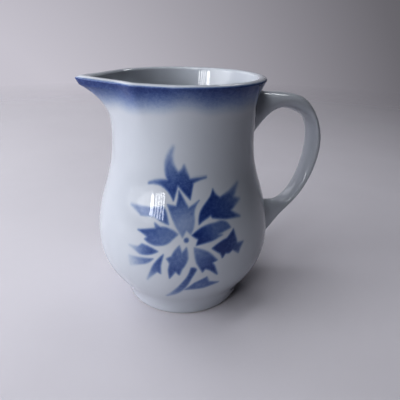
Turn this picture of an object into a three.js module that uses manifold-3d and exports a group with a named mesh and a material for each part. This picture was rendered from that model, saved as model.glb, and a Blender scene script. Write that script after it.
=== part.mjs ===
// Porcelain cream jug: a thrown pear-shaped body on a foot ring, a pinched pouring spout and a strap handle.
//
// Millimetres, +Z up. The jug stands on z = 0, the spout points along -X and the handle along +X.
// The jug is modelled about its own turning axis, and the whole assembly is then moved along X
// so that the middle of its box is above the origin.

import * as THREE from 'three';
import { mergeVertices } from 'three/addons/utils/BufferGeometryUtils.js';
import Module from 'manifold-3d';

const wasm = await Module();
wasm.setup();

// ---------------------------------------------------------------- driving dimensions

const HEIGHT = 110;                // table to rim
const GAP = 0.3;                   // between touching pieces
const TURN_STEPS = 72;             // facets round the body
const AXIS_POINT = 1;              // points nearer the turning axis than this are on it
const MERGE_DISTANCE = 1e-4;

// The outside of the wall, as [radius, height].
const OUTSIDE = [
  [31.4, 7.3], [32.6, 9.6], [36.8, 16], [40.8, 24], [42.5, 34], [41.9, 44],
  [39.1, 56], [34.9, 70], [33.3, 84], [33.5, 95], [34.6, 103], [37.2, 109],
];
const OUTSIDE_STEPS = 20;

// The inside of the wall, from the rim down to the floor.
const INSIDE = [
  [33.6, 109], [32.4, 103], [30.8, 95], [30.1, 84], [31.4, 70], [35.5, 56],
  [38.2, 44], [38.8, 34], [37.0, 24], [33.0, 16], [27.0, 10.6],
];
const INSIDE_STEPS = 16;
const LIP_CROWN = [[36.6, HEIGHT], [35.3, 110.4], [34.2, HEIGHT]];

const FLOOR_TOP = 9.4;
const FLOOR_UNDERSIDE = 3.8;
const BOSS_RADIUS = 24.5;          // the base disc that the foot ring sits round
const BOSS_CHAMFER = 0.6;

// Foot ring, as [radius, height]: inner wall, flat standing face, small bevel, flared outer wall.
const FOOT_TOP = 7;
const RING_INNER = BOSS_RADIUS + GAP;
const FOOT_RING = [
  [RING_INNER, FOOT_TOP], [RING_INNER, 3], [25.4, 0.8], [26.2, 0], [28.2, 0],
  [28.6, 0.4], [29.4, 2.2], [30.2, 4.6], [31.2, FOOT_TOP],
];

// Spout: the wall is pulled out to a beak, most at the rim and narrowing downwards.
const SPOUT_REACH = 9.6;           // outside of the beak past the round rim
const SPOUT_REACH_INSIDE = 6.6;
const SPOUT_RISE = 0.6;            // beak above the rim
const SPOUT_START = 89;            // height where the wall starts to move outwards
const SPOUT_FULL = 106.6;
const SPOUT_HALF_ANGLE_TOP = 42;   // degrees each side of the beak, at the rim
const SPOUT_HALF_ANGLE_LOW = 18;
const BEAK_ROUNDING = 3.2;         // degrees
const BEAK_CURVE = 2.3;            // how late the beak leans out as the wall rises
// The throat is pressed in on each side of the beak and the rim swells where the beak starts,
// one side more than the other, as fingers leave it.
const THROAT = { angle: 26, spread: 9, near: -1.0, far: 0.4 };
const SHOULDER = { angle: 43, spread: 6, near: 1.1, far: 0.2 };
const SPOUT_PANEL_HALF_WIDTH = 23; // the panel of wall that carries the spout: a shield outline
const SPOUT_PANEL_BOTTOM = 86;
const PANEL_SHOULDER = 102;        // height where the shield's sides start to draw in
const PANEL_TIP_HALF_WIDTH = 9;
const PANEL_SIDE_BEND = 9;
const BEYOND_THE_JUG = 8;          // how far a cutting solid runs past what it cuts

// Handle: the strap's outer and inner edges in the XZ plane, as [distance from the turning axis, height].
// The two lists run side by side from the upper root to the lower one.
const OUTER_EDGE = [
  [28.6, 102.4], [43.5, 101.7], [60, 99.5], [69.1, 91.5], [74.8, 77], [72.6, 59.5], [64.3, 45],
  [54.4, 34], [47, 24.2], [36.5, 16.2],
];
const INNER_EDGE = [
  [28.6, 75], [43.7, 91.3], [55.1, 92.8], [65.8, 86.8], [68.6, 74.4], [66.3, 59.8], [60, 47],
  [52.2, 43.4], [45, 44.6], [38, 48],
];
// Width across the strap, as [share of its length, width].
const HANDLE_WIDTH = [[0, 15.5], [0.25, 12.8], [0.6, 11], [0.85, 9.8], [1, 10.5]];
const HANDLE_STEPS = 48;
const HANDLE_SIDES = 14;
const LUTING_DEPTH = 3.2;          // slip between the body and each end of the handle
const LUTING_SPREAD = 1.6;         // how far the slip stands out round the handle it holds
const HANDLE_MIDDLE = 62;          // height that parts the upper luting from the lower one

// ---------------------------------------------------------------- finishes

function glaze(color) {
  return new THREE.MeshStandardMaterial({ color, roughness: 0.08, metalness: 0 });
}

const glazedWhite = () => glaze(0xe9ecf2);
const glazedBlue = () => glaze(0x5a6aa6);
const bareEdge = new THREE.MeshStandardMaterial({ color: 0xe2ddd2, roughness: 0.6, metalness: 0 });

// ---------------------------------------------------------------- solids

function toSolid(geometry) {
  const plain = geometry.clone();
  plain.deleteAttribute('normal');
  plain.deleteAttribute('uv');
  const merged = mergeVertices(plain, MERGE_DISTANCE);
  const vertProperties = Float32Array.from(merged.attributes.position.array);
  const triVerts = Uint32Array.from(merged.index.array);
  return new wasm.Manifold(new wasm.Mesh({ numProp: 3, vertProperties, triVerts }));
}

function toGeometry(solid) {
  const mesh = solid.getMesh();
  const geometry = new THREE.BufferGeometry();
  geometry.setAttribute('position', new THREE.BufferAttribute(Float32Array.from(mesh.vertProperties), 3));
  geometry.setIndex(new THREE.BufferAttribute(Uint32Array.from(mesh.triVerts), 1));
  geometry.computeVertexNormals();
  return geometry;
}

function smoothPoints(points, steps) {
  const curve = new THREE.SplineCurve(points.map(([x, y]) => new THREE.Vector2(x, y)));
  return curve.getSpacedPoints(steps);
}

// A solid turned about Z from a profile of Vector2(radius, height).
function turned(profile) {
  const geometry = new THREE.LatheGeometry(profile, TURN_STEPS);
  geometry.rotateX(Math.PI / 2);
  return geometry;
}

function clamp01(value) {
  return Math.min(1, Math.max(0, value));
}

// ---------------------------------------------------------------- body wall with its spout

function swell(angle, { angle: middle, spread, near, far }) {
  const depth = angle > 0 ? near : far;
  return depth * Math.exp(-(((Math.abs(angle) - middle) / spread) ** 2));
}

// How far the wall moves outwards at a height and an angle (degrees) from the beak.
function spoutPull(angle, height, reach) {
  const rise = clamp01((height - SPOUT_START) / (SPOUT_FULL - SPOUT_START));
  const halfAngle = SPOUT_HALF_ANGLE_LOW + (SPOUT_HALF_ANGLE_TOP - SPOUT_HALF_ANGLE_LOW) * rise;
  const rounded = Math.hypot(angle, BEAK_ROUNDING) - BEAK_ROUNDING;
  const beak = reach * rise ** BEAK_CURVE * clamp01(1 - rounded / halfAngle) ** 3;
  return beak + rise ** 2 * (swell(angle, SHOULDER) + swell(angle, THROAT));
}

function pullSpout(geometry, outsideRows) {
  const position = geometry.attributes.position;
  const rows = position.count / (TURN_STEPS + 1);
  for (let i = 0; i < position.count; i += 1) {
    const row = i % rows;
    const x = position.getX(i);
    const y = position.getY(i);
    const z = position.getZ(i);
    const radius = Math.hypot(x, y);
    if (radius > AXIS_POINT && z > SPOUT_START) {
      const angle = THREE.MathUtils.radToDeg(Math.atan2(-y, -x));
      const reach = row < outsideRows ? SPOUT_REACH : SPOUT_REACH_INSIDE;
      const pull = spoutPull(angle, z, reach);
      const scale = (radius + pull) / radius;
      position.setXYZ(i, x * scale, y * scale, z + SPOUT_RISE * pull / SPOUT_REACH);
    }
  }
  return geometry;
}

function jugWall() {
  const bodyBottom = OUTSIDE[0][1];
  const chamferStart = BOSS_RADIUS - BOSS_CHAMFER;
  const underside = [[0, FLOOR_UNDERSIDE], [chamferStart, FLOOR_UNDERSIDE], [BOSS_RADIUS, bodyBottom]];
  const outside = smoothPoints(OUTSIDE, OUTSIDE_STEPS);
  const crown = LIP_CROWN.map(([r, z]) => new THREE.Vector2(r, z));
  const inside = smoothPoints(INSIDE, INSIDE_STEPS);
  const profile = [
    ...underside.map(([r, z]) => new THREE.Vector2(r, z)),
    ...outside,
    ...crown,
    ...inside,
    new THREE.Vector2(0, FLOOR_TOP),
  ];
  const outsideRows = underside.length + outside.length + 1;
  return toSolid(pullSpout(turned(profile), outsideRows));
}

// The outside of the wall grown by a distance, as a solid without a hollow.
function bodyEnvelope(growth) {
  const outside = smoothPoints(OUTSIDE, OUTSIDE_STEPS);
  const wall = outside.map((point) => new THREE.Vector2(point.x + growth, point.y));
  const bottom = new THREE.Vector2(wall[0].x, 0);
  const profile = [new THREE.Vector2(0, 0), bottom, ...wall, new THREE.Vector2(0, HEIGHT)];
  return toSolid(turned(profile));
}

// A shield outline across the front of the jug, run backwards to the middle of the mouth.
function spoutPanel(growth) {
  const halfWidth = SPOUT_PANEL_HALF_WIDTH + growth;
  const bottom = SPOUT_PANEL_BOTTOM - growth;
  const top = HEIGHT + BEYOND_THE_JUG;
  const bend = PANEL_SHOULDER - PANEL_SIDE_BEND;
  const tip = PANEL_TIP_HALF_WIDTH;
  const outline = new THREE.Shape();
  outline.moveTo(-halfWidth, top);
  outline.lineTo(-halfWidth, PANEL_SHOULDER);
  outline.bezierCurveTo(-halfWidth, bend, -tip, bottom, 0, bottom);
  outline.bezierCurveTo(tip, bottom, halfWidth, bend, halfWidth, PANEL_SHOULDER);
  outline.lineTo(halfWidth, top);
  outline.closePath();
  const depth = OUTSIDE[OUTSIDE.length - 1][0] + SPOUT_REACH + BEYOND_THE_JUG;
  const panel = new THREE.ExtrudeGeometry(outline, { depth, bevelEnabled: false, curveSegments: 10 });
  panel.rotateX(Math.PI / 2);
  panel.rotateZ(-Math.PI / 2);
  return toSolid(panel);
}

function footRing() {
  const closed = [...FOOT_RING, FOOT_RING[0]];
  return turned(closed.map(([r, z]) => new THREE.Vector2(r, z)));
}

// ---------------------------------------------------------------- handle

function widthAt(fraction) {
  let k = 1;
  while (k < HANDLE_WIDTH.length - 1 && fraction > HANDLE_WIDTH[k][0]) {
    k += 1;
  }
  const [f0, w0] = HANDLE_WIDTH[k - 1];
  const [f1, w1] = HANDLE_WIDTH[k];
  return THREE.MathUtils.mapLinear(fraction, f0, f1, w0, w1);
}

function edgeCurve(points) {
  return new THREE.SplineCurve(points.map(([x, z]) => new THREE.Vector2(x, z)));
}

// A closed loft of oval sections between the two edges, with a flat cap at each end.
function strap(growth) {
  const outerEdge = edgeCurve(OUTER_EDGE);
  const innerEdge = edgeCurve(INNER_EDGE);
  const vertices = [];
  const index = [];
  for (let i = 0; i <= HANDLE_STEPS; i += 1) {
    const fraction = i / HANDLE_STEPS;
    const outer = outerEdge.getPoint(fraction);
    const inner = innerEdge.getPoint(fraction);
    const centre = outer.clone().add(inner).multiplyScalar(0.5);
    const half = outer.clone().sub(centre);
    half.setLength(half.length() + growth);
    for (let k = 0; k < HANDLE_SIDES; k += 1) {
      const turn = 2 * Math.PI * k / HANDLE_SIDES;
      const across = Math.sin(turn) * (widthAt(fraction) / 2 + growth);
      vertices.push(centre.x + half.x * Math.cos(turn), across, centre.y + half.y * Math.cos(turn));
    }
  }
  const last = HANDLE_STEPS * HANDLE_SIDES;
  for (let i = 0; i < HANDLE_STEPS; i += 1) {
    for (let k = 0; k < HANDLE_SIDES; k += 1) {
      const next = (k + 1) % HANDLE_SIDES;
      const a = i * HANDLE_SIDES + k;
      const b = i * HANDLE_SIDES + next;
      index.push(a, a + HANDLE_SIDES, b, b, a + HANDLE_SIDES, b + HANDLE_SIDES);
    }
  }
  for (let k = 1; k < HANDLE_SIDES - 1; k += 1) {
    index.push(0, k, k + 1);
    index.push(last, last + k + 1, last + k);
  }
  const geometry = new THREE.BufferGeometry();
  geometry.setAttribute('position', new THREE.Float32BufferAttribute(vertices, 3));
  geometry.setIndex(index);
  return toSolid(geometry);
}

// A wide level slab of space between two heights.
function slab(low, high) {
  const width = 4 * HEIGHT;
  const box = new THREE.BoxGeometry(width, width, high - low);
  box.translate(0, 0, (low + high) / 2);
  return toSolid(box);
}

// ---------------------------------------------------------------- assembly

const wall = jugWall();
const spout = wall.intersect(spoutPanel(0));
const body = wall.subtract(spoutPanel(GAP));
const handle = strap(0).subtract(bodyEnvelope(LUTING_DEPTH + GAP));
const luting = strap(LUTING_SPREAD).intersect(bodyEnvelope(LUTING_DEPTH)).subtract(bodyEnvelope(GAP));
const upperLuting = luting.intersect(slab(HANDLE_MIDDLE, HEIGHT));
const lowerLuting = luting.intersect(slab(0, HANDLE_MIDDLE));

const jug = new THREE.Group();

function addPiece(name, geometry, material) {
  const mesh = new THREE.Mesh(geometry, material);
  mesh.name = name;
  jug.add(mesh);
}

addPiece('jug_body', toGeometry(body), glazedWhite());
addPiece('foot_ring', footRing(), bareEdge);
addPiece('spout', toGeometry(spout), glazedBlue());
addPiece('handle', toGeometry(handle), glazedWhite());
addPiece('upper_handle_luting', toGeometry(upperLuting), glazedWhite());
addPiece('lower_handle_luting', toGeometry(lowerLuting), glazedWhite());

const middle = new THREE.Box3().setFromObject(jug).getCenter(new THREE.Vector3());
jug.position.x = -middle.x;

const part = new THREE.Group();
part.add(jug);

export default part;
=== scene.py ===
import math

import bpy
import numpy as np
from mathutils import Matrix, Vector

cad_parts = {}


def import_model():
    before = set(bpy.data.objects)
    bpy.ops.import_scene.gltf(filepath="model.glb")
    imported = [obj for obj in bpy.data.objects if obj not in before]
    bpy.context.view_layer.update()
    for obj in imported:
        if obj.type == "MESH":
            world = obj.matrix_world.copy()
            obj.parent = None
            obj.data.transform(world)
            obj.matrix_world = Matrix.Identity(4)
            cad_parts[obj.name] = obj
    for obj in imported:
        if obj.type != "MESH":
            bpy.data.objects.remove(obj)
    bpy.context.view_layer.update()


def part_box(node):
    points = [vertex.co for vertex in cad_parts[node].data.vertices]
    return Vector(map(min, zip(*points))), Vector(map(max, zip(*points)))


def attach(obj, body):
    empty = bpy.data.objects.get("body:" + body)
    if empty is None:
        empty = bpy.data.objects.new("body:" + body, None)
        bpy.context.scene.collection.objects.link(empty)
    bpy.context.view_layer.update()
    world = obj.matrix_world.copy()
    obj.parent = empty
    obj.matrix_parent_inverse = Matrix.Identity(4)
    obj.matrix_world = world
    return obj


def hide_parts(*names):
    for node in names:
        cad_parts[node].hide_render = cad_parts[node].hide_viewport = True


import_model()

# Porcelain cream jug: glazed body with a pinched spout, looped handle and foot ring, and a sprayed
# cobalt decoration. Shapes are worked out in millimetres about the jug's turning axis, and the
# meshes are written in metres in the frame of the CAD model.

MM = 0.001
foot_low, foot_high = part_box("foot_ring")
AXIS_X = (foot_low[0] + foot_high[0]) / 2 / MM      # the turning axis, in millimetres
CURVE_SAMPLES = 4000

# ---------------------------------------------------------------- the wall

# Outside of the foot and wall from the table to the lip, as (radius, height).
OUTSIDE = [
    (28.3, 0.25), (28.9, 1.0), (29.6, 2.4), (30.4, 4.8), (32.6, 9.6), (36.8, 16), (40.8, 24),
    (42.5, 34), (41.9, 44), (39.1, 56), (34.9, 70), (33.3, 84), (33.5, 95), (34.6, 103), (37.3, 109.2),
]
# Inside of the wall from the lip to the floor.
INSIDE = [
    (33.3, 109.2), (32.4, 103), (31.1, 95), (30.1, 84), (31.4, 70), (35.5, 56),
    (38.2, 44), (38.8, 34), (37.0, 24), (32.4, 15.4), (24.0, 10.4), (10.0, 9.5), (0.01, 9.4),
]
LIP_CROWN = 1.25               # the lip's rise between the outside and the inside
LIP_STEPS = 12
INSIDE_ROWS = 60               # rows of the mesh inside, below the spout
# Spacing of the mesh's rows outside, up to each height.
ROW_SPACING = ((16, 0.8), (74, 0.55), (96, 1.0), (math.inf, 0.5))
FLOWER_FINE_HALF_ANGLE = 39.0  # the mesh's columns are closer here
BEAK_FINE_HALF_ANGLE = 10.0

FOOT_SEAM = 7.15               # height where the foot ring meets the body
# The foot ring's standing face and inner wall, as (radius, height).
STANDING_FACE = [(27.9, 0.05), (27.5, 0), (27.2, 0), (26.7, 0)]
RING_INSIDE = [(26.2, 0.1), (25.7, 0.5), (25.2, 1.5), (24.8, 3), (24.8, FOOT_SEAM)]
BARE_EDGE = (0.15, 0.5)        # the glaze is wiped off below these heights
FOOT_ROWS = 22
FOOT_SIDES = 160
# The recess inside the foot ring, going inwards, as (radius, height, normal outwards, normal upwards).
UNDERSIDE = [
    (24.6, FOOT_SEAM, 0, -1), (24.6, 4.6, 1, 0), (24.3, 4.0, 0.7, -0.7),
    (23.7, 3.8, 0, -1), (12, 3.95, 0, -1), (2, 4.0, 0, -1),
]

SPOUT_AZIMUTH = 180.0
SPOUT_REACH = 9.6
SPOUT_REACH_INSIDE = 6.6
SPOUT_RISE = 0.6
SPOUT_START = 89.0
SPOUT_FULL = 106.6
THROAT_ANGLE = 26.0            # from the beak to where one side of it is pressed in
THROAT_SPREAD = 9.0
THROAT_PRESS = (1.0, -0.4)     # on the two sides; the second one bulges a little
SHOULDER_ANGLE = 43.0          # and the rim swells where the beak starts
SHOULDER_SPREAD = 6.0
SHOULDER_SWELL = (1.1, 0.2)
SPOUT_HALF_ANGLE_TOP = 42.0
SPOUT_HALF_ANGLE_LOW = 18.0
BEAK_ROUNDING = 3.2
BEAK_CURVE = 2.3
SPOUT_PANEL_HALF_ANGLE = 42.0
SPOUT_PANEL_BOTTOM = 86.0

# ---------------------------------------------------------------- the handle

# The strap's outer and inner edges in its plane, as (distance from the turning axis, height).
# The two lists run side by side from the upper root to the lower one, both starting inside the wall.
OUTER_EDGE = [
    (28.6, 102.4), (43.5, 101.7), (60, 99.5), (69.1, 91.5), (74.8, 77), (72.6, 59.5), (64.3, 45),
    (54.4, 34), (47, 24.2), (36.5, 16.2),
]
INNER_EDGE = [
    (28.6, 75), (43.7, 91.3), (55.1, 92.8), (65.8, 86.8), (68.6, 74.4), (66.3, 59.8), (60, 47),
    (52.2, 43.4), (45, 44.6), (38, 48),
]
# Width across the strap, as (share of its length, width).
HANDLE_WIDTH = [(0, 15.5), (0.25, 12.8), (0.6, 11), (0.85, 9.8), (1, 10.5)]
HANDLE_SIDES = 40
STRAP_STEPS = 120
FILLET = 2.2                   # slip round each root
UPPER_ROOT = 0.11              # shares of the strap's length where the slip ends
LOWER_ROOT = 0.93
UPPER_BURIED = 0.0             # and where the strap is well inside the wall
LOWER_BURIED = 1.06
ROOT_STEPS = 16
ROOT_HUGS_WALL = 1.6           # how long the slip keeps to the wall before it turns up the strap
ROOT_TANGENT = 0.02            # share of the root's length over which the strap's direction is taken
ROOT_SAMPLES = 300
SLOPE_STEP = 0.2               # the wall's slope is taken between this far below and above

# ---------------------------------------------------------------- the decoration

FLOWER_AZIMUTH = 255.8         # of the flower's centre; the jug has its twin on the other side
FLOWER_HEIGHT = 48.5
FLOWER_RADIUS = 42.0           # the flower is unrolled from a cylinder of this radius
BAND_TOP = 108.6               # the rim band is deepest just under the lip
BAND_BOTTOM = 97.5
BAND_STRENGTH = 0.93
BAND_FALL = 1.7                # how fast it thins out downwards
# Its lower edge wanders round the jug, as (waves, millimetres, phase).
BAND_WAVES = ((3, 0.9, 0.6), (7, 0.6, 2.1), (13, 0.35, 0.0))
BAND_OVER_LIP = (-1.5, 2.0)    # rows past the outer edge of the lip between which it ends

# Each motif of the stencil: its outline from corner to corner, anticlockwise, as (right, up, bow),
# where bow curves the stretch that starts there towards its left by that share of its length, then
# its shade as two points with the strength of the colour at each.
MOTIFS = {
    "crown": (
        [(-6.5, 37.5, -0.18), (-9.3, 24, -0.06), (-19, 22, 0.18), (-6, 16, 0), (-4, 22, 0),
         (2, 16.5, 0), (3.6, 23, 0.04), (10.2, 25, 0), (1.8, 24.6, 0), (-1, 30, 0.1), (-4, 27.4, 0.17)],
        ((-6, 36, 0.5), (0, 18, 0.78))),
    "top_petal": (
        [(-3.5, 20, 0.05), (-4.7, 13.7, 0), (-8.7, 14.2, -0.03), (-1.6, 1.2, 0), (0, 4.2, 0),
         (2, 2.4, -0.08), (3.6, 10.5, 0.1), (6.2, 15.8, 0), (1.2, 13, 0)],
        ((-1, 8, 0.26), (-3, 19, 0.7))),
    "left_petal": (
        [(-3.6, 2.4, -0.12), (-11.6, 5, 0), (-14.2, 6.4, 0), (-13.6, 4.2, 0), (-22, 2.3, 0.03),
         (-17.2, 0.2, 0), (-18.4, -1, -0.12), (-11, -2.7, -0.1), (-6, 0.2, 0)],
        ((-6, 1, 0.38), (-18, 1, 0.62))),
    "right_petal": (
        [(2.6, 2, 0), (5.2, 0.2, 0), (4.4, -2.2, 0), (8, -1.6, -0.03), (13, -0.6, 0), (16.4, 0.7, 0),
         (14.2, 1.2, 0), (20.8, 2.9, -0.22), (13.5, 6.2, -0.1)],
        ((4, 0, 1.05), (13, 3.5, 0.45))),
    "right_leaf": (
        [(11.3, -4.5, 0), (15, -7.4, 0), (16, -9.7, 0), (17.4, -7.9, 0), (19.4, -8.3, 0),
         (21.2, -7.2, 0), (24.4, -9.6, 0.05), (27.2, -5.4, 0), (23.8, -4.8, 0), (22.2, 1.7, 0),
         (18.5, -1.4, -0.05)],
        ((15, -5, 1.05), (25, -7, 0.6))),
    "upper_leaf": (
        [(5.8, 6.4, 0.05), (9.6, 8.6, 0), (11.4, 9.6, 0), (12.2, 8.4, 0), (19, 7, 0), (27, 6.4, 0),
         (22, 9.8, 0), (28.4, 13.4, 0), (25, 15, 0), (29, 20.3, 0), (22.5, 17.6, 0), (17, 16, 0.1),
         (13.5, 19.7, 0.05), (11.8, 16.8, 0), (7.5, 12.6, -0.1)],
        ((12, 11, 0.85), (27, 15, 0.5))),
    "lower_right_petal": (
        [(3.4, -3.4, -0.04), (4.4, -10.5, 0), (7, -15.3, 0), (8.2, -13.6, 0), (10.4, -14.8, 0),
         (13.8, -17.8, 0), (12.4, -13.4, 0), (11.2, -11.2, 0), (13.4, -10.4, 0), (10.8, -7.2, -0.06),
         (6, -4.2, 0)],
        ((5, -5, 0.35), (11, -14, 0.82))),
    "lower_left_petal": (
        [(-3, -2.4, -0.06), (-6.2, -7.2, 0), (-8.3, -8.4, 0), (-7, -10.6, 0), (-7.6, -14, 0),
         (-7.2, -18.3, 0), (-4.6, -14.4, 0), (-3, -16.2, 0), (-1.8, -13.2, -0.04), (0.6, -8.4, -0.04),
         (0, -3.2, 0), (-1.9, -5.6, 0)],
        ((-2, -6, 0.45), (-6, -16, 0.7))),
    "left_leaf": (
        [(-27.5, 11.8, 0.02), (-21.4, 8.6, 0), (-14.5, 9, -0.04), (-7.8, 6.3, 0), (-8.8, 10, -0.1),
         (-11, 13.2, 0.03), (-20, 12.2, 0)],
        ((-25, 11, 0.3), (-11, 9, 0.5))),
    "sprig_high": (
        [(-26, -5.5, 0), (-20.5, -8.2, -0.08), (-12.3, -5.6, -0.05), (-19.6, -3.4, 0), (-21.5, -5, 0)],
        ((-24, -6, 0.1), (-15, -6, 0.7))),
    "sprig_middle": (
        [(-26, -10.6, 0), (-25.5, -15, 0), (-18.5, -12.6, -0.06), (-14.3, -9.3, 0)],
        ((-25, -13, 0.08), (-15, -10, 0.5))),
    "sprig_low": (
        [(-9.8, -6.8, -0.04), (-14.6, -13.2, 0), (-17.6, -20.8, 0), (-12.6, -15.4, 0), (-11, -16.3, 0),
         (-11, -12, 0)],
        ((-11, -11, 0.7), (-17, -20, 0.2))),
    "stem": (
        [(2, -12.8, 0.05), (-0.6, -19, 0.02), (-9.5, -31, -0.12), (1.8, -19, 0), (4.3, -13.9, -0.2)],
        ((3, -15, 0.75), (-8, -30, 0.35))),
    "low_leaf": (
        [(-0.5, -25.2, 0), (8, -24.8, 0), (14.8, -22.8, 0), (10.2, -21.2, 0), (9, -18.3, 0),
         (3.5, -21.2, 0)],
        ((1, -25, 0.5), (13, -23, 0.55))),
}
FLOWER_HALF_ANGLE = 42.0       # nothing of the flower lies further round the jug
MOTIF_MARGIN = 2.0             # the sprayed edge ends within this distance of an outline
CORNER_STEPS = 7               # straight steps in each curved stretch of an outline
EYE_RADIUS = 1.0
EYE_STRENGTH = 0.55
EYE_SOFTNESS = 0.5
# Half-width of the sprayed edge, near the flower's centre and far from it.
STENCIL_SOFTNESS = (0.8, 1.9)
# The colour thins out between these distances from the centre, to this share of it.
FADE_START, FADE_END = 20.0, 38.0
FADE_LEFT = 0.6
# The colour gathers a little along the stencil's edge.
EDGE_STRENGTH = 0.12
EDGE_DEPTH = 0.9

# ---------------------------------------------------------------- curves and the wall


def smooth_curve(points):
    """A curve through the points with steady curvature, as a function of the share of its length."""
    knots = np.array(points, float)
    step = np.linalg.norm(np.diff(knots, axis=0), axis=1)
    at = np.concatenate([[0], np.cumsum(step)])
    count = len(knots)
    system = np.zeros((count, count))
    right = np.zeros((count, 2))
    system[0, 0] = system[-1, -1] = 1
    for i in range(1, count - 1):
        system[i, i - 1:i + 2] = step[i - 1], 2 * (step[i - 1] + step[i]), step[i]
        after, before = (knots[i + 1] - knots[i]) / step[i], (knots[i] - knots[i - 1]) / step[i - 1]
        right[i] = 6 * (after - before)
    bend = np.linalg.solve(system, right)

    def point(share):
        place = np.clip(np.asarray(share, float), 0, 1) * at[-1]
        i = np.clip(np.searchsorted(at, place, side="right") - 1, 0, count - 2)
        h = step[i][:, None]
        a = (at[i + 1] - place)[:, None]
        b = (place - at[i])[:, None]
        curve = (bend[i] * a ** 3 + bend[i + 1] * b ** 3) / (6 * h)
        start = (knots[i] / h - bend[i] * h / 6) * a
        end = (knots[i + 1] / h - bend[i + 1] * h / 6) * b
        return curve + start + end

    return point


def run_along(points):
    """The distance run along a line of points, at each of them."""
    return np.concatenate([[0], np.cumsum(np.linalg.norm(np.diff(points, axis=0), axis=1))])


def points_at(place, run, points):
    return np.stack([np.interp(place, run, points[:, 0]), np.interp(place, run, points[:, 1])], axis=1)


def lengthwise(curve, step_at):
    """Points along a curve whose spacing at each point is step_at(height)."""
    fine = curve(np.linspace(0, 1, CURVE_SAMPLES))
    run = run_along(fine)
    density = 1 / np.array([step_at(z) for z in fine[:, 1]])
    total = np.concatenate([[0], np.cumsum((density[1:] + density[:-1]) / 2 * np.diff(run))])
    count = max(2, int(round(total[-1])))
    place = np.interp(np.linspace(0, total[-1], count + 1), total, run)
    return points_at(place, run, fine)


outside_curve = smooth_curve(OUTSIDE)
outside_fine = outside_curve(np.linspace(0, 1, CURVE_SAMPLES))


def wall_radius(height):
    return np.interp(height, outside_fine[:, 1], outside_fine[:, 0])


def bump_beside(angle, depths, middle, spread):
    """A smooth bump on each side of the beak, with a depth of its own on each."""
    return np.where(angle > 0, *depths) * np.exp(-((np.abs(angle) - middle) / spread) ** 2)


def spout_pull(angle, height, reach):
    """How far the wall moves out, at an angle in degrees from the beak."""
    rise = np.clip((height - SPOUT_START) / (SPOUT_FULL - SPOUT_START), 0, 1)
    half_angle = SPOUT_HALF_ANGLE_LOW + (SPOUT_HALF_ANGLE_TOP - SPOUT_HALF_ANGLE_LOW) * rise
    rounded = np.hypot(angle, BEAK_ROUNDING) - BEAK_ROUNDING
    beak = reach * rise ** BEAK_CURVE * np.clip(1 - rounded / half_angle, 0, 1) ** 3
    throat = bump_beside(angle, THROAT_PRESS, THROAT_ANGLE, THROAT_SPREAD)
    shoulder = bump_beside(angle, SHOULDER_SWELL, SHOULDER_ANGLE, SHOULDER_SPREAD)
    return beak + rise ** 2 * (shoulder - throat)


def angle_between(azimuth, middle):
    return (azimuth - middle + 180) % 360 - 180


def on_wall(profile, azimuths, reach_share):
    """Grid of points, one row for each profile point. reach_share is 0 outside and 1 inside."""
    radius, height = profile[:, :1], profile[:, 1:]
    angle = angle_between(azimuths, SPOUT_AZIMUTH)[None, :]
    reach = SPOUT_REACH + (SPOUT_REACH_INSIDE - SPOUT_REACH) * reach_share[:, None]
    pull = spout_pull(angle, height, reach)
    turn = np.radians(azimuths)[None, :]
    grid = np.empty((len(profile), len(azimuths), 3))
    grid[..., 0] = AXIS_X + (radius + pull) * np.cos(turn)
    grid[..., 1] = (radius + pull) * np.sin(turn)
    grid[..., 2] = height + SPOUT_RISE * pull / SPOUT_REACH
    return grid


# ---------------------------------------------------------------- decoration as a strength per point

def outline_points(corners):
    """Points along an outline given as (right, up, bow of the stretch that follows)."""
    points = []
    for i, (x, y, bow) in enumerate(corners):
        nx, ny, _ = corners[(i + 1) % len(corners)]
        start, end = np.array([x, y]), np.array([nx, ny])
        middle = (start + end) / 2 + bow * np.array([y - ny, nx - x])
        control = 2 * middle - (start + end) / 2
        for t in np.arange(CORNER_STEPS) / CORNER_STEPS:
            points.append((1 - t) ** 2 * start + 2 * t * (1 - t) * control + t ** 2 * end)
    return np.array(points)


def signed_distance(places, outline):
    """Distance from each place to the outline: negative inside."""
    nearest = np.full(len(places), 1e9)
    inside = np.zeros(len(places), bool)
    for a, b in zip(outline, np.roll(outline, -1, axis=0)):
        along = b - a
        share = np.clip(((places - a) @ along) / max(along @ along, 1e-9), 0, 1)
        nearest = np.minimum(nearest, np.linalg.norm(places - a - share[:, None] * along, axis=1))
        crosses = (a[1] > places[:, 1]) != (b[1] > places[:, 1])
        slope = along[0] / along[1] if along[1] else 0
        inside ^= crosses & (places[:, 0] < a[0] + (places[:, 1] - a[1]) * slope)
    return np.where(inside, -nearest, nearest)


def smooth_step(value, low, high):
    t = np.clip((value - low) / (high - low), 0, 1)
    return t * t * (3 - 2 * t)


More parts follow.
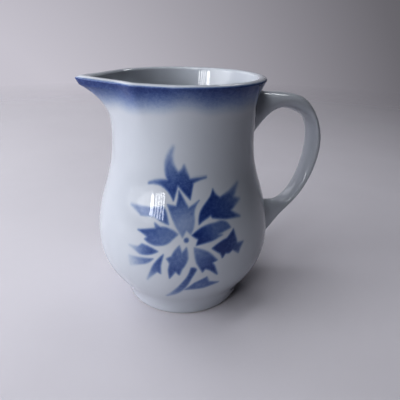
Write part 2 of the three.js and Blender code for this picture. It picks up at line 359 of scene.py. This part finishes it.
def flower_strength(right, up):
    """Strength of the cobalt at places in the unrolled flower, in millimetres from its centre."""
    places = np.stack([right.ravel(), up.ravel()], axis=1)
    strength = np.zeros(len(places))
    for corners, ((x0, y0, s0), (x1, y1, s1)) in MOTIFS.values():
        outline = outline_points(corners)
        low, high = outline.min(axis=0) - MOTIF_MARGIN, outline.max(axis=0) + MOTIF_MARGIN
        near = np.all((places > low) & (places < high), axis=1)
        spot = places[near]
        distance = signed_distance(spot, outline)
        outer = smooth_step(np.linalg.norm(spot, axis=1), FADE_START, FADE_END)
        softness = STENCIL_SOFTNESS[0] + (STENCIL_SOFTNESS[1] - STENCIL_SOFTNESS[0]) * outer
        cover = (1 - smooth_step(distance, -softness, softness)) * (1 - (1 - FADE_LEFT) * outer)
        along = np.array([x1 - x0, y1 - y0])
        share = np.clip(((spot - (x0, y0)) @ along) / (along @ along), 0, 1)
        edge = EDGE_STRENGTH * np.exp(np.minimum(distance, 0) / EDGE_DEPTH)
        strength[near] = np.maximum(strength[near], cover * (s0 + (s1 - s0) * share + edge))
    out = np.linalg.norm(places, axis=1)
    eye = EYE_STRENGTH * (1 - smooth_step(out, EYE_RADIUS - EYE_SOFTNESS, EYE_RADIUS + EYE_SOFTNESS))
    return np.maximum(strength, eye).reshape(right.shape)


def decoration(grid, azimuths, row_count):
    """Strength of the flower at each point of the wall, which has it on its first rows only."""
    strength = np.zeros(grid.shape[:2])
    for middle in (FLOWER_AZIMUTH, FLOWER_AZIMUTH - 180):
        angle = angle_between(azimuths, middle)
        columns = np.where(np.abs(angle) < FLOWER_HALF_ANGLE)[0]
        height = grid[:row_count, columns, 2]
        right = np.radians(angle[columns])[None, :] * FLOWER_RADIUS + 0 * height
        strength[:row_count, columns] = flower_strength(right, height - FLOWER_HEIGHT)
    return strength


# ---------------------------------------------------------------- mesh making

def grid_faces(rows, columns):
    """The faces between rows of points that close on themselves."""
    faces = []
    for i in range(rows - 1):
        for j in range(columns):
            k = (j + 1) % columns
            a, b = i * columns + j, i * columns + k
            faces.append((a, b, b + columns, a + columns))
    return faces


def circle(radius, height, turn):
    """Points round the turning axis, at angles in radians."""
    return np.stack([AXIS_X + radius * np.cos(turn), radius * np.sin(turn), height + 0 * turn], axis=1)


def slanted(outward, upward, turn):
    """Normals round the turning axis, at angles in radians."""
    return np.stack([outward * np.cos(turn), outward * np.sin(turn), upward + 0 * turn], axis=1)


def make_piece(name, points, faces, material, normals=None, attributes=None):
    """A smooth mesh in metres from points in millimetres."""
    mesh = bpy.data.meshes.new(name)
    mesh.from_pydata((np.asarray(points) * MM).tolist(), [], faces)
    mesh.polygons.foreach_set("use_smooth", [True] * len(mesh.polygons))
    for key, values in (attributes or {}).items():
        made = mesh.attributes.new(key, "FLOAT", "POINT")
        made.data.foreach_set("value", np.asarray(values, np.float32))
    if normals is not None:
        mesh.normals_split_custom_set_from_vertices(np.asarray(normals).tolist())
    mesh.materials.append(material)
    mesh.update()
    piece = bpy.data.objects.new(name, mesh)
    bpy.context.collection.objects.link(piece)
    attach(piece, "root")
    return piece


# ---------------------------------------------------------------- materials

class Nodes:
    """A short way to write a material's nodes."""

    def __init__(self, name):
        self.material = bpy.data.materials.new(name)
        self.material.use_nodes = True
        self.tree = self.material.node_tree
        self.shader = self.tree.nodes["Principled BSDF"]

    def add(self, kind, **settings):
        node = self.tree.nodes.new(kind)
        for key, value in settings.items():
            setattr(node, key, value)
        return node

    def put(self, node, values):
        for key, value in values.items():
            if isinstance(value, bpy.types.NodeSocket):
                self.tree.links.new(value, node.inputs[key])
            else:
                node.inputs[key].default_value = value
        return node

    def noise(self, scale, detail=2.0, roughness=0.5, place=None):
        place = place or self.add("ShaderNodeTexCoord").outputs["Object"]
        node = self.add("ShaderNodeTexNoise")
        values = {"Vector": place, "Scale": scale, "Detail": detail, "Roughness": roughness}
        return self.put(node, values).outputs["Fac"]

    def calculate(self, operation, a, b, clamp=False):
        node = self.add("ShaderNodeMath", operation=operation, use_clamp=clamp)
        return self.put(node, {0: a, 1: b}).outputs[0]

    def span(self, value, low, high, to_low=0.0, to_high=1.0):
        node = self.add("ShaderNodeMapRange")
        return self.put(node, {"Value": value, 1: low, 2: high, 3: to_low, 4: to_high}).outputs[0]

    def strength(self, name):
        return self.add("ShaderNodeAttribute", attribute_name=name).outputs["Fac"]

    def ramp(self, value, stops):
        node = self.add("ShaderNodeValToRGB")
        ramp = node.color_ramp
        while len(ramp.elements) < len(stops):
            ramp.elements.new(0.5)
        for element, (place, colour) in zip(ramp.elements, stops):
            element.position = place
            element.color = (*colour, 1)
        return self.put(node, {"Fac": value}).outputs["Color"]

    def bump(self, height, distance, strength=1.0, under=None):
        node = self.add("ShaderNodeBump")
        values = {"Height": height, "Distance": distance, "Strength": strength}
        if under is not None:
            values["Normal"] = under
        return self.put(node, values).outputs["Normal"]


PORCELAIN = (0.50, 0.525, 0.57)
PORCELAIN_SHADE = 0.985        # the plain glaze's colour varies down to this share
COBALT_DEPTH = (2.9, 2.25, 1.1)         # how fast the cobalt takes red, green and blue out of the white
COBALT_STOPS = (0, 0.06, 0.14, 0.25, 0.4, 0.6, 0.8, 1)
BARE_BODY = (0.66, 0.63, 0.56)
GLAZE_BORDER = (0.5, 0.47, 0.42)
GLAZE_IOR = 1.52
GLAZE_ROUGHNESS = (0.035, 0.06)
FOOT_ROUGHNESS = (0.07, 0.62)  # glazed and bare
FLOOR_COLOURS = ((0.60, 0.585, 0.625), (0.625, 0.61, 0.65))
FLOOR_ROUGHNESS = 0.55
FLOOR_FADE = (0.2, 0.85)       # the floor goes over into the room between these distances, in metres
NOISE_RANGE = (0.3, 0.7)       # holds nearly all values of a noise texture
GLOSS_SCALE = 260              # of the noise that makes the gloss uneven
FLOOR_SCALE = 9
# Noise that makes an edge or a colour uneven, as (scale, how far up and down).
FINE_SPRAY = (2600, 0.14)
COARSE_SPRAY = (620, 0.13)
WIPED_EDGE = (900, 0.12)
# Bumps, as (scale, depth in metres, strength).
WAVES = (95, 0.00022, 0.35)
PORES = (4200, 0.00001, 0.03)
GRIT = (3500, 0.00006, 0.8)


def cobalt_stops():
    """The colours from bare white to the full depth of the cobalt."""
    stops = []
    for share in COBALT_STOPS:
        colour = tuple(white * math.exp(-depth * share) for white, depth in zip(PORCELAIN, COBALT_DEPTH))
        stops.append((share, colour))
    return stops


def glaze(name, sprayed=False):
    """Clear gloss glaze on bluish white porcelain, over sprayed cobalt where the piece has it."""
    n = Nodes(name)
    waves = n.noise(WAVES[0], 2.0)
    if sprayed:
        fine = n.noise(FINE_SPRAY[0], 2.0, 0.6)
        coarse = n.noise(COARSE_SPRAY[0], 3.0, 0.6)
        ink = n.calculate("ADD", n.strength("flower"), n.strength("band"))
        fine = n.span(fine, *NOISE_RANGE, -FINE_SPRAY[1], FINE_SPRAY[1])
        coarse = n.span(coarse, *NOISE_RANGE, -COARSE_SPRAY[1], COARSE_SPRAY[1])
        grain = n.calculate("ADD", fine, coarse)
        faded = n.calculate("MULTIPLY", ink, n.calculate("ADD", grain, 1.0))
        colour = n.ramp(faded, cobalt_stops())
    else:
        tint = tuple(c * PORCELAIN_SHADE for c in PORCELAIN)
        colour = n.ramp(n.span(waves, *NOISE_RANGE), [(0, tint), (1, PORCELAIN)])
    n.put(n.shader, {"Base Color": colour, "IOR": GLAZE_IOR})
    pores = n.noise(PORES[0], 1.0)
    n.put(n.shader, {"Roughness": n.span(n.noise(GLOSS_SCALE, 2.0), *NOISE_RANGE, *GLAZE_ROUGHNESS)})
    swell = n.bump(waves, *WAVES[1:])
    n.put(n.shader, {"Normal": n.bump(pores, *PORES[1:], swell)})
    return n.material


def foot_finish(name):
    """The same glaze, wiped off the standing edge, where the bare body is matt and a little warmer."""
    n = Nodes(name)
    bare = n.strength("bare")
    ragged = n.span(n.noise(WIPED_EDGE[0], 3.0, 0.65), *NOISE_RANGE, -WIPED_EDGE[1], WIPED_EDGE[1])
    patch = n.calculate("ADD", bare, ragged, clamp=True)
    share = n.span(patch, 0.35, 0.65)
    colour = n.ramp(share, [(0, PORCELAIN), (0.5, GLAZE_BORDER), (1, BARE_BODY)])
    roughness = n.span(share, 0, 1, *FOOT_ROUGHNESS)
    n.put(n.shader, {"Base Color": colour, "Roughness": roughness, "IOR": GLAZE_IOR})
    grit = n.calculate("MULTIPLY", n.noise(GRIT[0], 3.0, 0.7), share)
    n.put(n.shader, {"Normal": n.bump(grit, *GRIT[1:])})
    return n.material


def ground(name):
    """A pale matt floor that goes over into the room some way off."""
    n = Nodes(name)
    colour = n.ramp(n.noise(FLOOR_SCALE, 4.0, 0.55), list(zip(NOISE_RANGE, FLOOR_COLOURS)))
    n.put(n.shader, {"Base Color": colour, "Roughness": FLOOR_ROUGHNESS})
    place = n.add("ShaderNodeTexCoord").outputs["Object"]
    far = n.put(n.add("ShaderNodeVectorMath", operation="LENGTH"), {0: place}).outputs["Value"]
    through = n.add("ShaderNodeBsdfTransparent")
    mix = n.add("ShaderNodeMixShader")
    surfaces = {1: n.shader.outputs["BSDF"], 2: through.outputs["BSDF"]}
    n.put(mix, {"Fac": n.span(far, *FLOOR_FADE), **surfaces})
    n.put(n.tree.nodes["Material Output"], {"Surface": mix.outputs["Shader"]})
    return n.material


sprayed_glaze = glaze("sprayed_glaze", sprayed=True)
plain_glaze = glaze("plain_glaze")
foot_glaze = foot_finish("foot_glaze")

# ---------------------------------------------------------------- body, spout and foot ring


def azimuth_stops():
    """Azimuths round the jug, close together at the spout and the flowers."""
    front, back = FLOWER_AZIMUTH, FLOWER_AZIMUTH - 180
    fine = FLOWER_FINE_HALF_ANGLE
    edge_low = SPOUT_AZIMUTH - SPOUT_PANEL_HALF_ANGLE
    edge_high = SPOUT_AZIMUTH + SPOUT_PANEL_HALF_ANGLE
    beak_low = SPOUT_AZIMUTH - BEAK_FINE_HALF_ANGLE
    beak_high = SPOUT_AZIMUTH + BEAK_FINE_HALF_ANGLE
    # The start and end of each stretch, and the angle between its columns.
    spans = [
        (back - fine, back + fine, 0.9),
        (back + fine, edge_low, 1.4),
        (edge_low, beak_low, 1.1),
        (beak_low, beak_high, 0.6),
        (beak_high, edge_high, 0.9),
        (edge_high, front + fine, 0.62),
        (front + fine, back - fine + 360, 2.0),
    ]
    stops = []
    for start, end, step in spans:
        count = int(round((end - start) / step))
        stops.extend(start + (end - start) * np.arange(count) / count)
    return np.array(stops)


azimuths = azimuth_stops()


def outside_step(height):
    """The spacing of the mesh's rows at a height of the outside."""
    return next(step for top, step in ROW_SPACING if height < top)


outside_rows = lengthwise(outside_curve, outside_step)
outside_rows = outside_rows[outside_rows[:, 1] > FOOT_SEAM]
seam_radius = wall_radius(FOOT_SEAM)
outside_rows = np.concatenate([[(seam_radius, FOOT_SEAM)], outside_rows])
panel_row = int(np.argmin(np.abs(outside_rows[:, 1] - SPOUT_PANEL_BOTTOM)))
panel_rows = len(outside_rows) - 1 - panel_row

inside_fine = smooth_curve(INSIDE)(np.linspace(0, 1, CURVE_SAMPLES))
panel_inside = inside_fine[inside_fine[:, 1] > SPOUT_PANEL_BOTTOM]
low_inside = inside_fine[inside_fine[:, 1] <= SPOUT_PANEL_BOTTOM]


def thinned(points, count):
    """The same line in count even steps."""
    run = run_along(points)
    return points_at(np.linspace(0, run[-1], count + 1), run, points)


def lip_points(start, end):
    """A round lip between the outside and the inside of the wall."""
    points = []
    for i in range(1, LIP_STEPS):
        turn = math.pi * i / LIP_STEPS
        middle = (np.array(start) + end) / 2
        half = (np.array(start) - end) / 2
        points.append(middle + half * math.cos(turn) + np.array([0, LIP_CROWN]) * math.sin(turn))
    return np.array(points)


lip_rows = lip_points(OUTSIDE[-1], INSIDE[0])
upper_inside = thinned(panel_inside, panel_rows)
lower_inside = thinned(low_inside, INSIDE_ROWS)[1:]
wall_profile = np.concatenate([outside_rows, lip_rows, upper_inside, lower_inside])
share_inside = np.concatenate([
    np.zeros(len(outside_rows)),
    np.linspace(0, 1, LIP_STEPS + 1)[1:-1],
    np.ones(len(upper_inside) + len(lower_inside)),
])
wall_grid = on_wall(wall_profile, azimuths, share_inside)


def grid_normals(grid):
    """Normals of a grid that is closed along its columns, pointing out of the wall."""
    down = np.gradient(grid, axis=0)
    across = (np.roll(grid, -1, axis=1) - np.roll(grid, 1, axis=1)) / 2
    normal = np.cross(across, down)
    length = np.linalg.norm(normal, axis=2, keepdims=True)
    return normal / np.maximum(length, 1e-9)


wall_normals = grid_normals(wall_grid)
flower = decoration(wall_grid, azimuths, len(outside_rows))


def band_strength(row_count):
    """The sprayed rim band: deepest under the lip, gone a little way down, uneven round the jug."""
    turn = np.radians(azimuths)[None, :]
    height = wall_profile[:, 1:] + 0 * turn
    wander = sum(size * np.sin(waves * turn + phase) for waves, size, phase in BAND_WAVES)
    share = np.clip((height - BAND_BOTTOM - wander) / (BAND_TOP - BAND_BOTTOM), 0, 1)
    beyond = np.arange(len(wall_profile))[:, None] - row_count
    return BAND_STRENGTH * share ** BAND_FALL * (1 - smooth_step(beyond, *BAND_OVER_LIP))


band = band_strength(len(outside_rows))

in_spout = np.abs(angle_between(azimuths, SPOUT_AZIMUTH)) <= SPOUT_PANEL_HALF_ANGLE + 1e-6
spout_columns = np.where(in_spout)[0]
last_panel_row = len(outside_rows) + len(lip_rows) + len(upper_inside) - 1


def panel_edges(columns, keep_spout):
    """Faces across the wall's thickness, down both sides of the spout's panel and along its bottom."""
    faces = []
    for side, j in ((1, spout_columns[0]), (-1, spout_columns[-1])):
        for step in range((last_panel_row - panel_row) // 2):
            a, b = panel_row + step, last_panel_row - step
            strip = (a * columns + j, (a + 1) * columns + j, (b - 1) * columns + j, b * columns + j)
            strip = tuple(dict.fromkeys(strip))
            if len(strip) > 2:
                faces.append(strip if (side > 0) != keep_spout else strip[::-1])
    for j, k in zip(spout_columns[:-1], spout_columns[1:]):
        across = (panel_row * columns + j, last_panel_row * columns + j,
                  last_panel_row * columns + k, panel_row * columns + k)
        faces.append(across if keep_spout else across[::-1])
    return faces


def underside(first, columns):
    """Points, normals and faces of the recess that closes the wall below, numbered from first."""
    turn = np.radians(azimuths)
    points = [circle(radius, height, turn) for radius, height, _, _ in UNDERSIDE]
    normals = [slanted(outward, upward, turn) for _, _, outward, upward in UNDERSIDE]
    faces = []
    for step in range(len(UNDERSIDE)):
        upper = 0 if step == 0 else first + (step - 1) * columns
        lower = first + step * columns
        for j in range(columns):
            k = (j + 1) % columns
            faces.append((upper + k, upper + j, lower + j, lower + k))
    tip = first + len(UNDERSIDE) * columns
    for j in range(columns):
        faces.append((lower + (j + 1) % columns, lower + j, tip))
    points.append([[AXIS_X, 0, UNDERSIDE[-1][1]]])
    normals.append([[0, 0, -1]])
    return np.concatenate(points), np.concatenate(normals), faces


def wall_piece(name, keep_spout):
    """The spout's panel of the wall, or all the rest of it, closed across the wall's thickness."""
    rows, columns = wall_grid.shape[:2]
    faces = []
    for i in range(rows - 1):
        for j in range(columns):
            k = (j + 1) % columns
            is_spout = panel_row <= i < last_panel_row and in_spout[j] and in_spout[k]
            if is_spout == keep_spout:
                upper, lower = i * columns, (i + 1) * columns
                faces.append((upper + j, upper + k, lower + k, lower + j))
    faces += panel_edges(columns, keep_spout)
    points = wall_grid.reshape(-1, 3)
    normals = wall_normals.reshape(-1, 3)
    if not keep_spout:
        more_points, more_normals, more_faces = underside(len(points), columns)
        points = np.concatenate([points, more_points])
        normals = np.concatenate([normals, more_normals])
        faces += more_faces
    plain = np.zeros(len(points) - wall_grid[..., 0].size)
    used = np.unique([v for face in faces for v in face])
    renumber = {old: new for new, old in enumerate(used)}
    faces = [tuple(renumber[v] for v in face) for face in faces]
    values = {
        "flower": np.concatenate([flower.ravel(), plain])[used],
        "band": np.concatenate([band.ravel(), plain])[used],
    }
    return make_piece(name, points[used], faces, sprayed_glaze, normals[used], values)


jug_wall = wall_piece("jug_wall", False)
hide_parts("jug_body")
spout_panel = wall_piece("pouring_spout", True)
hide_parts("spout")


def foot_profile():
    """The ring's section as a closed run: outer wall down, standing edge, inner wall up, hidden top."""
    outer = outside_fine[outside_fine[:, 1] < FOOT_SEAM][::-1]
    outer = thinned(np.concatenate([[(seam_radius, FOOT_SEAM)], outer]), FOOT_ROWS)
    return np.concatenate([outer, STANDING_FACE, RING_INSIDE])


def foot_ring():
    """The ring, with how bare of glaze it is at each point."""
    profile = foot_profile()
    turn = np.linspace(0, 2 * math.pi, FOOT_SIDES, endpoint=False)
    points = [circle(radius, height, turn) for radius, height in profile]
    bare = [np.full(FOOT_SIDES, 1.0 - smooth_step(height, *BARE_EDGE)) for height in profile[:, 1]]
    faces = [face[::-1] for face in grid_faces(len(profile), FOOT_SIDES)]
    last = (len(profile) - 1) * FOOT_SIDES
    for j in range(FOOT_SIDES):
        k = (j + 1) % FOOT_SIDES
        faces.append((last + k, k, j, last + j))
    slope = np.gradient(profile, axis=0)
    normal = np.stack([-slope[:, 1], slope[:, 0]], axis=1)
    normal /= np.linalg.norm(normal, axis=1, keepdims=True)
    # At the seam the ring takes the normal of the wall that it meets.
    top = int(np.argmin(np.abs(outside_fine[:, 1] - FOOT_SEAM)))
    tangent = outside_fine[top + 1] - outside_fine[top - 1]
    normal[0] = np.array([tangent[1], -tangent[0]]) / np.linalg.norm(tangent)
    normals = [slanted(outward, upward, turn) for outward, upward in normal]
    return make_piece("glazed_foot_ring", np.concatenate(points), faces, foot_glaze,
                      np.concatenate(normals), {"bare": np.concatenate(bare)})


ring = foot_ring()
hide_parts("foot_ring")

# ---------------------------------------------------------------- handle and the slip round its roots

def even_curve(points):
    """A smooth curve that passes its points at even steps, so that two such curves stay side by side."""
    knots = np.array(points, float)
    count = len(knots)
    beside = np.ones(count - 1)
    system = np.diag(np.full(count, 4.0)) + np.diag(beside, 1) + np.diag(beside, -1)
    system[0, :2] = system[-1, -2:] = 0
    system[0, 0] = system[-1, -1] = 1
    right = np.zeros((count, 2))
    right[1:-1] = 6 * (knots[2:] - 2 * knots[1:-1] + knots[:-2])
    bend = np.linalg.solve(system, right)

    def point(share):
        place = share * (count - 1)
        i = int(np.clip(math.floor(place), 0, count - 2))
        b = place - i
        a = 1 - b
        curve = (bend[i] * a ** 3 + bend[i + 1] * b ** 3) / 6
        return curve + (knots[i] - bend[i] / 6) * a + (knots[i + 1] - bend[i + 1] / 6) * b

    return point


outer_edge = even_curve(OUTER_EDGE)
inner_edge = even_curve(INNER_EDGE)


def strap_ring(share, grow=0.0):
    """One section of the strap, which can be made larger all round."""
    outer, inner = outer_edge(share), inner_edge(share)
    centre = (outer + inner) / 2
    half = (outer - inner) / 2
    half *= 1 + grow / np.linalg.norm(half)
    width = np.interp(share, *zip(*HANDLE_WIDTH))
    turn = np.linspace(0, 2 * math.pi, HANDLE_SIDES, endpoint=False)
    across = np.sin(turn) * (width / 2 + grow)
    out = np.cos(turn)
    return np.stack([AXIS_X + centre[0] + half[0] * out, across, centre[1] + half[1] * out], axis=1)


def where_it_lands(shares, grow):
    """Where each side line of the strap comes out of the wall, going along the shares."""
    lines = np.array([strap_ring(share, grow) for share in shares])
    depth = wall_radius(lines[..., 2]) - np.hypot(lines[..., 0] - AXIS_X, lines[..., 1])
    landing = []
    for k in range(HANDLE_SIDES):
        i = np.where(depth[:, k] > 0)[0][-1]
        t = depth[i, k] / (depth[i, k] - depth[i + 1, k])
        landing.append(lines[i, k] + t * (lines[i + 1, k] - lines[i, k]))
    return np.array(landing)


def wall_normal(points):
    """Normals of the outside of the wall, away from the spout."""
    radial = np.stack([points[:, 0] - AXIS_X, points[:, 1]], axis=1)
    radial /= np.linalg.norm(radial, axis=1, keepdims=True)
    above, below = points[:, 2] + SLOPE_STEP, points[:, 2] - SLOPE_STEP
    slope = (wall_radius(above) - wall_radius(below)) / (2 * SLOPE_STEP)
    normal = np.stack([radial[:, 0], radial[:, 1], -slope], axis=1)
    return normal / np.linalg.norm(normal, axis=1, keepdims=True)


def root_rings(buried, root):
    """Rings from the wall to the strap's section at root, leaving the wall along its surface."""
    shares = np.linspace(buried, root, ROOT_SAMPLES)
    foot = where_it_lands(shares, FILLET)
    section = strap_ring(root)
    normal = wall_normal(foot)
    leave = where_it_lands(shares, 0) - foot
    leave -= np.sum(leave * normal, axis=1, keepdims=True) * normal
    arrive = section - strap_ring(root - (root - buried) * ROOT_TANGENT)
    length = np.linalg.norm(section - foot, axis=1, keepdims=True)
    arrive *= length / np.linalg.norm(arrive, axis=1, keepdims=True)
    rings = []
    for i in range(ROOT_STEPS + 1):
        t = i / ROOT_STEPS
        h00, h10 = 2 * t ** 3 - 3 * t ** 2 + 1, t ** 3 - 2 * t ** 2 + t
        h01, h11 = -2 * t ** 3 + 3 * t ** 2, t ** 3 - t ** 2
        rings.append(h00 * foot + h10 * leave * ROOT_HUGS_WALL + h01 * section + h11 * arrive)
    return rings, normal


upper_rings, upper_foot_normal = root_rings(UPPER_BURIED, UPPER_ROOT)
lower_rings, lower_foot_normal = root_rings(LOWER_BURIED, LOWER_ROOT)
strap_rings = [strap_ring(share) for share in np.linspace(UPPER_ROOT, LOWER_ROOT, STRAP_STEPS + 1)]
handle_grid = np.array(upper_rings[:-1] + strap_rings + lower_rings[::-1][1:])
handle_normals = -grid_normals(handle_grid)
sample = STRAP_STEPS // 2
outward = handle_grid[sample] - handle_grid[sample].mean(axis=0)
if np.sum(handle_normals[sample] * outward) < 0:
    handle_normals = -handle_normals
handle_normals[0] = upper_foot_normal
handle_normals[-1] = lower_foot_normal


def handle_piece(name, first, last):
    """The rows of the handle from first to last, closed at both ends."""
    rows = handle_grid[first:last + 1]
    normals = handle_normals[first:last + 1]
    count = HANDLE_SIDES
    faces = grid_faces(len(rows), count)
    faces.append(tuple(range(count))[::-1])
    faces.append(tuple((len(rows) - 1) * count + k for k in range(count)))
    middle = rows[len(rows) // 2]
    a, b, c = middle[0], middle[1], rows[len(rows) // 2 + 1][1]
    if np.dot(np.cross(b - a, c - a), a - middle.mean(axis=0)) < 0:
        faces = [face[::-1] for face in faces]
    return make_piece(name, rows.reshape(-1, 3), faces, plain_glaze, normals.reshape(-1, 3))


strap_end = ROOT_STEPS + STRAP_STEPS
upper_slip = handle_piece("upper_root_slip", 0, ROOT_STEPS)
strap = handle_piece("strap_handle", ROOT_STEPS, strap_end)
lower_slip = handle_piece("lower_root_slip", strap_end, len(handle_grid) - 1)
handle_nodes = (
    (upper_slip, "upper_handle_luting"), (strap, "handle"), (lower_slip, "lower_handle_luting"),
)
for piece, node in handle_nodes:
    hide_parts(node)

# ---------------------------------------------------------------- floor, light and camera

FLOOR_RADII = (0.4, 1.0, 2.0, 4.0)
FLOOR_SIDES = 96

JUG_MIDDLE = (AXIS_X * MM, 0, 0.06)
FLOOR_LEFT = (AXIS_X * MM - 0.38, 0.26, 0.0)
LIGHT_COLOUR = (0.97, 0.98, 1.0)
# Each light with its place (azimuth, distance, height), target, size, power and spread in degrees.
LIGHTS = (
    ("overhead", (155, 0.5, 1.05), FLOOR_LEFT, (1.0, 1.0), 1.25, 84),
    ("long_strip", (74, 0.25, 1.25), JUG_MIDDLE, (1.4, 0.1), 0.5, 140),
    ("side_window", (190, 1.1, 0.5), JUG_MIDDLE, (1.0, 0.7), 2.4, 140),
    ("high_pane", (174, 1.0, 0.35), JUG_MIDDLE, (0.5, 0.1), 1.1, 140),
    ("back_window", (120, 1.1, 0.7), JUG_MIDDLE, (1.0, 0.7), 1.3, 140),
    ("low_wall", (192, 1.6, 0.5), JUG_MIDDLE, (2.0, 0.8), 2.7, 140),
    ("front_fill", (238, 0.9, 0.9), JUG_MIDDLE, (0.35, 0.3), 1.35, 140),
    ("ceiling_strip", (44, 0.85, 0.95), JUG_MIDDLE, (0.34, 0.1), 0.38, 140),
)

# A small barred window: one wide pane and four narrow ones.
PANE_AZIMUTH = 218.0
PANE_DISTANCE = 3.0
PANE_WIDTHS = (0.26, 0.10, 0.10, 0.10, 0.10)
PANE_GAP = 0.09
PANE_HEIGHT = 0.31
PANE_MIDDLE = 0.55
PANE_POWER_PER_AREA = 26.0
PANE_SPREAD = 180

# The room is lightest towards this azimuth and downwards.
LIGHT_SIDE_AZIMUTH = 120.0
LIGHT_SIDE_SLOPE = -0.55
# Brightness of the room as (share of the way to the lightest side, level).
ROOM_LEVELS = ((0.0, 0.008), (0.3, 0.015), (0.45, 0.05), (0.655, 0.15), (0.845, 0.31), (0.97, 0.44))
ROOM_TINT = (1.0, 0.97, 1.06)

CAMERA_AZIMUTH = 254.0         # of the camera about the turning axis
CAMERA_DISTANCE = 0.18694      # from the turning axis
CAMERA_HEIGHT = 0.13092
CAMERA_HEADING = 18.61         # degrees from +Y towards +X
CAMERA_PITCH = 23.68           # degrees down
CAMERA_ROLL = 1.13
LENS = 36.0                    # in millimetres, like the sensor's width
SENSOR_WIDTH = 36.0


def floor():
    points = [(0.0, 0.0, 0.0)]
    for radius in FLOOR_RADII:
        for k in range(FLOOR_SIDES):
            turn = 2 * math.pi * k / FLOOR_SIDES
            points.append((radius * math.cos(turn), radius * math.sin(turn), 0.0))
    faces = []
    for k in range(FLOOR_SIDES):
        faces.append((0, 1 + k, 1 + (k + 1) % FLOOR_SIDES))
    for row in range(len(FLOOR_RADII) - 1):
        first = 1 + row * FLOOR_SIDES
        for k in range(FLOOR_SIDES):
            a, b = first + k, first + (k + 1) % FLOOR_SIDES
            faces.append((a, a + FLOOR_SIDES, b + FLOOR_SIDES, b))
    mesh = bpy.data.meshes.new("floor")
    mesh.from_pydata(points, [], faces)
    mesh.materials.append(ground("pale_floor"))
    made = bpy.data.objects.new("floor", mesh)
    bpy.context.collection.objects.link(made)


def at(azimuth, distance, height):
    """A place about the jug's axis, in metres."""
    turn = math.radians(azimuth)
    return (AXIS_X * MM + distance * math.cos(turn), distance * math.sin(turn), height)


def area_light(name, place, target, size, power, spread):
    """A rectangle of light at a place (azimuth, distance, height), turned to its target."""
    data = bpy.data.lights.new(name, "AREA")
    data.shape = "RECTANGLE"
    data.size, data.size_y = size
    data.energy = power
    data.color = LIGHT_COLOUR
    data.spread = math.radians(spread)
    made = bpy.data.objects.new(name, data)
    bpy.context.collection.objects.link(made)
    made.location = at(*place)
    made.rotation_euler = (Vector(target) - Vector(at(*place))).to_track_quat("-Z", "Y").to_euler()
    made.visible_camera = False


def lights():
    for light in LIGHTS:
        area_light(*light)
    offset = -sum(PANE_WIDTHS) / 2 - PANE_GAP * (len(PANE_WIDTHS) - 1) / 2
    for number, width in enumerate(PANE_WIDTHS):
        azimuth = PANE_AZIMUTH + math.degrees((offset + width / 2) / PANE_DISTANCE)
        place = (azimuth, PANE_DISTANCE, PANE_MIDDLE)
        power = PANE_POWER_PER_AREA * width * PANE_HEIGHT
        area_light(f"pane_{number}", place, JUG_MIDDLE, (width, PANE_HEIGHT), power, PANE_SPREAD)
        offset += width + PANE_GAP


def world():
    """A room that is light low on the left, and dark overhead and on the right."""
    made = bpy.data.worlds.new("studio")
    made.use_nodes = True
    nodes, links = made.node_tree.nodes, made.node_tree.links
    place = nodes.new("ShaderNodeTexCoord")
    side = nodes.new("ShaderNodeVectorMath")
    side.operation = "DOT_PRODUCT"
    turn = math.radians(LIGHT_SIDE_AZIMUTH)
    side.inputs[1].default_value = (math.cos(turn), math.sin(turn), LIGHT_SIDE_SLOPE)
    links.new(place.outputs["Generated"], side.inputs[0])
    share = nodes.new("ShaderNodeMath")
    share.operation = "MULTIPLY_ADD"
    share.inputs[1].default_value = 0.5
    share.inputs[2].default_value = 0.5
    links.new(side.outputs["Value"], share.inputs[0])
    ramp = nodes.new("ShaderNodeValToRGB")
    while len(ramp.color_ramp.elements) < len(ROOM_LEVELS):
        ramp.color_ramp.elements.new(0.5)
    for element, (stop, level) in zip(ramp.color_ramp.elements, ROOM_LEVELS):
        element.position = stop
        element.color = (*(level * tint for tint in ROOM_TINT), 1)
    background = nodes["Background"]
    background.inputs["Strength"].default_value = 1.0
    links.new(share.outputs[0], ramp.inputs["Fac"])
    links.new(ramp.outputs["Color"], background.inputs["Color"])
    bpy.context.scene.world = made


def camera():
    data = bpy.data.cameras.new("camera")
    data.lens = LENS
    data.sensor_width = SENSOR_WIDTH
    data.clip_start, data.clip_end = 0.01, 50
    made = bpy.data.objects.new("camera", data)
    bpy.context.collection.objects.link(made)
    heading, pitch = math.radians(CAMERA_HEADING), math.radians(CAMERA_PITCH)
    level = math.cos(pitch)
    forward = Vector((math.sin(heading) * level, math.cos(heading) * level, -math.sin(pitch)))
    right = Vector((math.cos(heading), -math.sin(heading), 0))
    up = right.cross(forward)
    roll = math.radians(CAMERA_ROLL)
    across = right * math.cos(roll) + up * math.sin(roll)
    upwards = up * math.cos(roll) - right * math.sin(roll)
    turn = Matrix((across, upwards, -forward)).transposed().to_4x4()
    place = at(CAMERA_AZIMUTH, CAMERA_DISTANCE, CAMERA_HEIGHT)
    made.matrix_world = Matrix.Translation(place) @ turn
    bpy.context.scene.camera = made


floor()
lights()
world()
camera()
bpy.context.scene.view_settings.view_transform = "Standard"
bpy.context.scene.view_settings.look = "High Contrast"
